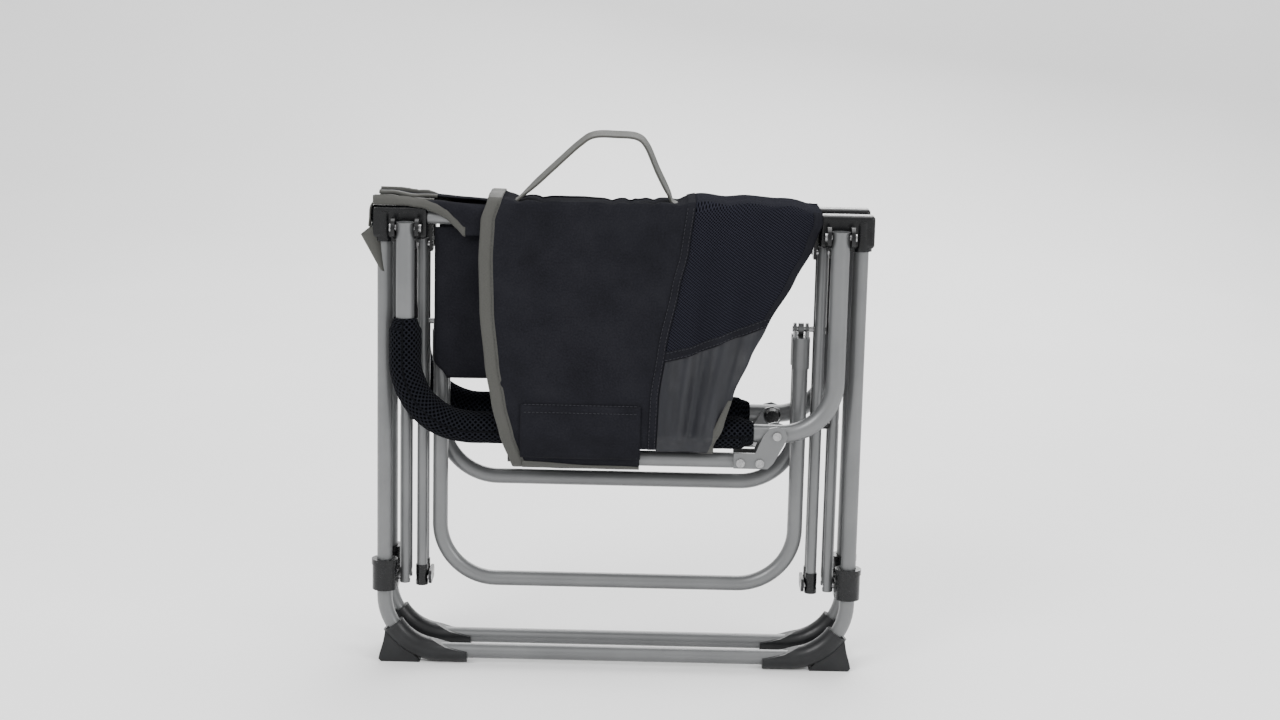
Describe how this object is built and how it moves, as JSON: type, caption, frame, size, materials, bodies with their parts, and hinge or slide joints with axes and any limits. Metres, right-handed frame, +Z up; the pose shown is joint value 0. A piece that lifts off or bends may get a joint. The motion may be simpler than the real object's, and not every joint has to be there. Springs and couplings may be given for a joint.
{
  "type": "folding camp chair",
  "caption": "Folding camp chair, folded flat for carrying, with a scissor frame, padded armrests and a strap.",
  "frame": {"origin": "centre of the folded chair's footprint, on the floor", "axes": "+X to the chair's rear, +Y from the near side to the far side, +Z up"},
  "size_m": [0.5176, 0.148, 0.5632],
  "materials": {
    "frame_grey": "satin grey powder coat",
    "black_plastic": "satin moulded plastic",
    "shoe_plastic": "dark grey moulded plastic",
    "plate_steel": "black painted steel",
    "rivet_steel": "bright steel",
    "mesh_pad": "black air mesh over foam",
    "navy_fabric": "near-black navy woven polyester",
    "grey_webbing": "olive-grey webbing"
  },
  "bodies": {
    "near_frame": {"near_sled_frame": "frame_grey", "near_seat_rail": "frame_grey", "near_rear_connector": "black_plastic", "near_front_connector": "black_plastic", "near_rear_shoe": "shoe_plastic", "near_front_shoe": "shoe_plastic", "near_connector_rivets": "rivet_steel"},
    "near_cross": {"near_cross_links": "frame_grey", "near_link_end_caps": "black_plastic", "near_crossing_rivets": "rivet_steel", "near_crossing_spacers": "black_plastic"},
    "near_slide": {"near_slide_links": "frame_grey"},
    "near_sleeves": {"near_sliding_sleeves": "black_plastic", "near_sleeve_pins": "rivet_steel"},
    "near_arm": {"near_armrest_tube": "frame_grey", "near_armrest_pad": "mesh_pad", "near_backrest_pivot": "rivet_steel", "near_hinge_knob": "black_plastic"},
    "near_upright": {"near_hinge_plates": "frame_grey", "near_plate_rivets": "rivet_steel", "near_backrest_upright": "frame_grey", "near_upright_plugs": "black_plastic"},
    "near_cover": {"near_backrest_cover": "navy_fabric"},
    "near_seat_outer": {"near_seat_outer": "navy_fabric"},
    "near_seat_inner": {"near_seat_inner": "navy_fabric"},
    "far_frame": {"far_sled_frame": "frame_grey", "far_seat_rail": "frame_grey", "far_rear_connector": "black_plastic", "far_front_connector": "black_plastic", "far_rear_shoe": "shoe_plastic", "far_front_shoe": "shoe_plastic", "far_connector_rivets": "rivet_steel"},
    "far_cross": {"far_cross_links": "frame_grey", "far_link_end_caps": "black_plastic", "far_crossing_rivets": "rivet_steel", "far_crossing_spacers": "black_plastic"},
    "far_slide": {"far_slide_links": "frame_grey"},
    "far_sleeves": {"far_sliding_sleeves": "black_plastic", "far_sleeve_pins": "rivet_steel"},
    "far_arm": {"far_armrest_tube": "frame_grey", "far_armrest_pad": "mesh_pad", "far_backrest_pivot": "rivet_steel", "far_hinge_knob": "black_plastic"},
    "far_upright": {"far_hinge_plates": "frame_grey", "far_plate_rivets": "rivet_steel", "far_backrest_upright": "frame_grey", "far_upright_plugs": "black_plastic"},
    "far_cover": {"far_backrest_cover": "navy_fabric"},
    "far_seat_outer": {"far_seat_outer": "navy_fabric"},
    "far_seat_inner": {"far_seat_inner": "navy_fabric"},
    "bottom_bracket": {"bottom_brackets": "plate_steel", "bottom_bracket_pins": "rivet_steel"},
    "hanger": {"hanger_plates": "plate_steel", "hanger_pins": "rivet_steel"},
    "near_stay": {"near_stay": "frame_grey", "near_stay_fittings": "frame_grey"},
    "far_stay": {"far_stay": "frame_grey", "far_stay_fittings": "frame_grey"},
    "cover_top": {"backrest_cover_top": "navy_fabric", "carry_strap": "grey_webbing"}
  },
  "joints": [
    {"name": "fold", "type": "hinge", "parent": "near_frame", "child": "near_cross", "pos_m": [0, -0.012, 0.446], "axis": [1, 0, 0], "range_deg": [0, 43.8]},
    {"name": "bottom_near_pivot", "type": "hinge", "parent": "near_cross", "child": "bottom_bracket", "pos_m": [0, -0.012, 0.088], "axis": [1, 0, 0], "range_deg": [-43.8, 0]},
    {"name": "bottom_far_pivot", "type": "hinge", "parent": "bottom_bracket", "child": "far_cross", "pos_m": [0, 0.012, 0.088], "axis": [1, 0, 0], "range_deg": [-43.8, 0]},
    {"name": "far_top_pivot", "type": "hinge", "parent": "far_cross", "child": "far_frame", "pos_m": [0, 0.012, 0.446], "axis": [1, 0, 0], "range_deg": [0, 43.8]},
    {"name": "near_crossing", "type": "hinge", "parent": "near_cross", "child": "near_slide", "pos_m": [0, -0.012, 0.267], "axis": [1, 0, 0], "range_deg": [-87.6, 0]},
    {"name": "near_sleeve_pivot", "type": "hinge", "parent": "near_slide", "child": "near_sleeves", "pos_m": [0, -0.012, 0.088], "axis": [1, 0, 0], "range_deg": [0, 43.8]},
    {"name": "hanger_pivot", "type": "hinge", "parent": "near_slide", "child": "hanger", "pos_m": [0, -0.012, 0.446], "axis": [1, 0, 0], "range_deg": [0, 43.8]},
    {"name": "far_crossing", "type": "hinge", "parent": "far_cross", "child": "far_slide", "pos_m": [0, 0.012, 0.267], "axis": [1, 0, 0], "range_deg": [0, 87.6]},
    {"name": "far_sleeve_pivot", "type": "hinge", "parent": "far_slide", "child": "far_sleeves", "pos_m": [0, 0.012, 0.088], "axis": [1, 0, 0], "range_deg": [-43.8, 0]},
    {"name": "near_stay_pivot", "type": "hinge", "parent": "hanger", "child": "near_stay", "pos_m": [0, 0, 0.363], "axis": [1, 0, 0], "range_deg": [-70, 0]},
    {"name": "far_stay_pivot", "type": "hinge", "parent": "hanger", "child": "far_stay", "pos_m": [0, 0, 0.363], "axis": [1, 0, 0], "range_deg": [0, 70]},
    {"name": "near_arm_pivot", "type": "hinge", "parent": "near_frame", "child": "near_arm", "pos_m": [0, -0.05, 0.467], "axis": [1, 0, 0], "range_deg": [-180, 0]},
    {"name": "near_backrest_hinge", "type": "hinge", "parent": "near_arm", "child": "near_upright", "pos_m": [0.163, -0.05, 0.261], "axis": [0, 1, 0], "range_deg": [-100, 0]},
    {"name": "near_cover_turn", "type": "hinge", "parent": "near_upright", "child": "near_cover", "pos_m": [0, -0.05, 0.232], "axis": [1, 0, 0], "range_deg": [0, 93.5], "deforming": ["near_backrest_cover"]},
    {"name": "near_seat_rail_turn", "type": "hinge", "parent": "near_frame", "child": "near_seat_outer", "pos_m": [0, -0.0275, 0.466], "axis": [1, 0, 0], "range_deg": [0, 90], "deforming": ["near_seat_outer"]},
    {"name": "near_seat_fold", "type": "hinge", "parent": "near_seat_outer", "child": "near_seat_inner", "pos_m": [0, -0.02525, 0.309], "axis": [1, 0, 0], "range_deg": [-179.5, 0], "deforming": ["near_seat_inner"]},
    {"name": "far_arm_pivot", "type": "hinge", "parent": "far_frame", "child": "far_arm", "pos_m": [0, 0.05, 0.467], "axis": [1, 0, 0], "range_deg": [0, 180]},
    {"name": "far_backrest_hinge", "type": "hinge", "parent": "far_arm", "child": "far_upright", "pos_m": [0.163, 0.05, 0.261], "axis": [0, 1, 0], "range_deg": [-100, 0]},
    {"name": "far_cover_turn", "type": "hinge", "parent": "far_upright", "child": "far_cover", "pos_m": [0, 0.05, 0.232], "axis": [1, 0, 0], "range_deg": [-93.5, 0], "deforming": ["far_backrest_cover"]},
    {"name": "far_seat_rail_turn", "type": "hinge", "parent": "far_frame", "child": "far_seat_outer", "pos_m": [0, 0.0275, 0.466], "axis": [1, 0, 0], "range_deg": [-90, 0], "deforming": ["far_seat_outer"]},
    {"name": "far_seat_fold", "type": "hinge", "parent": "far_seat_outer", "child": "far_seat_inner", "pos_m": [0, 0.02525, 0.309], "axis": [1, 0, 0], "range_deg": [0, 179.5], "deforming": ["far_seat_inner"]},
    {"name": "cover_top_fold", "type": "hinge", "parent": "near_cover", "child": "cover_top", "pos_m": [0, -0.0365, 0.4945], "axis": [1, 0, 0], "range_deg": [0, 86.5], "deforming": ["backrest_cover_top", "carry_strap"]}
  ],
  "couplings": [
    {"joint": "bottom_near_pivot", "follows": "fold", "ratio": -1},
    {"joint": "bottom_far_pivot", "follows": "fold", "ratio": -1},
    {"joint": "far_top_pivot", "follows": "fold", "ratio": 1},
    {"joint": "near_crossing", "follows": "fold", "ratio": -2},
    {"joint": "near_sleeve_pivot", "follows": "fold", "ratio": 1},
    {"joint": "hanger_pivot", "follows": "fold", "ratio": 1},
    {"joint": "far_crossing", "follows": "fold", "ratio": 2},
    {"joint": "far_sleeve_pivot", "follows": "fold", "ratio": -1},
    {"joint": "near_stay_pivot", "follows": "fold", "ratio": -1.5982},
    {"joint": "far_stay_pivot", "follows": "fold", "ratio": 1.5982},
    {"joint": "near_arm_pivot", "follows": "fold", "ratio": -4.1096},
    {"joint": "near_backrest_hinge", "follows": "fold", "ratio": -2.2831},
    {"joint": "near_cover_turn", "follows": "fold", "ratio": 2.1347},
    {"joint": "near_seat_rail_turn", "follows": "fold", "ratio": 2.0548},
    {"joint": "near_seat_fold", "follows": "fold", "ratio": -4.0982},
    {"joint": "far_arm_pivot", "follows": "fold", "ratio": 4.1096},
    {"joint": "far_backrest_hinge", "follows": "fold", "ratio": -2.2831},
    {"joint": "far_cover_turn", "follows": "fold", "ratio": -2.1347},
    {"joint": "far_seat_rail_turn", "follows": "fold", "ratio": -2.0548},
    {"joint": "far_seat_fold", "follows": "fold", "ratio": 4.0982},
    {"joint": "cover_top_fold", "follows": "fold", "ratio": 1.9749}
  ]
}
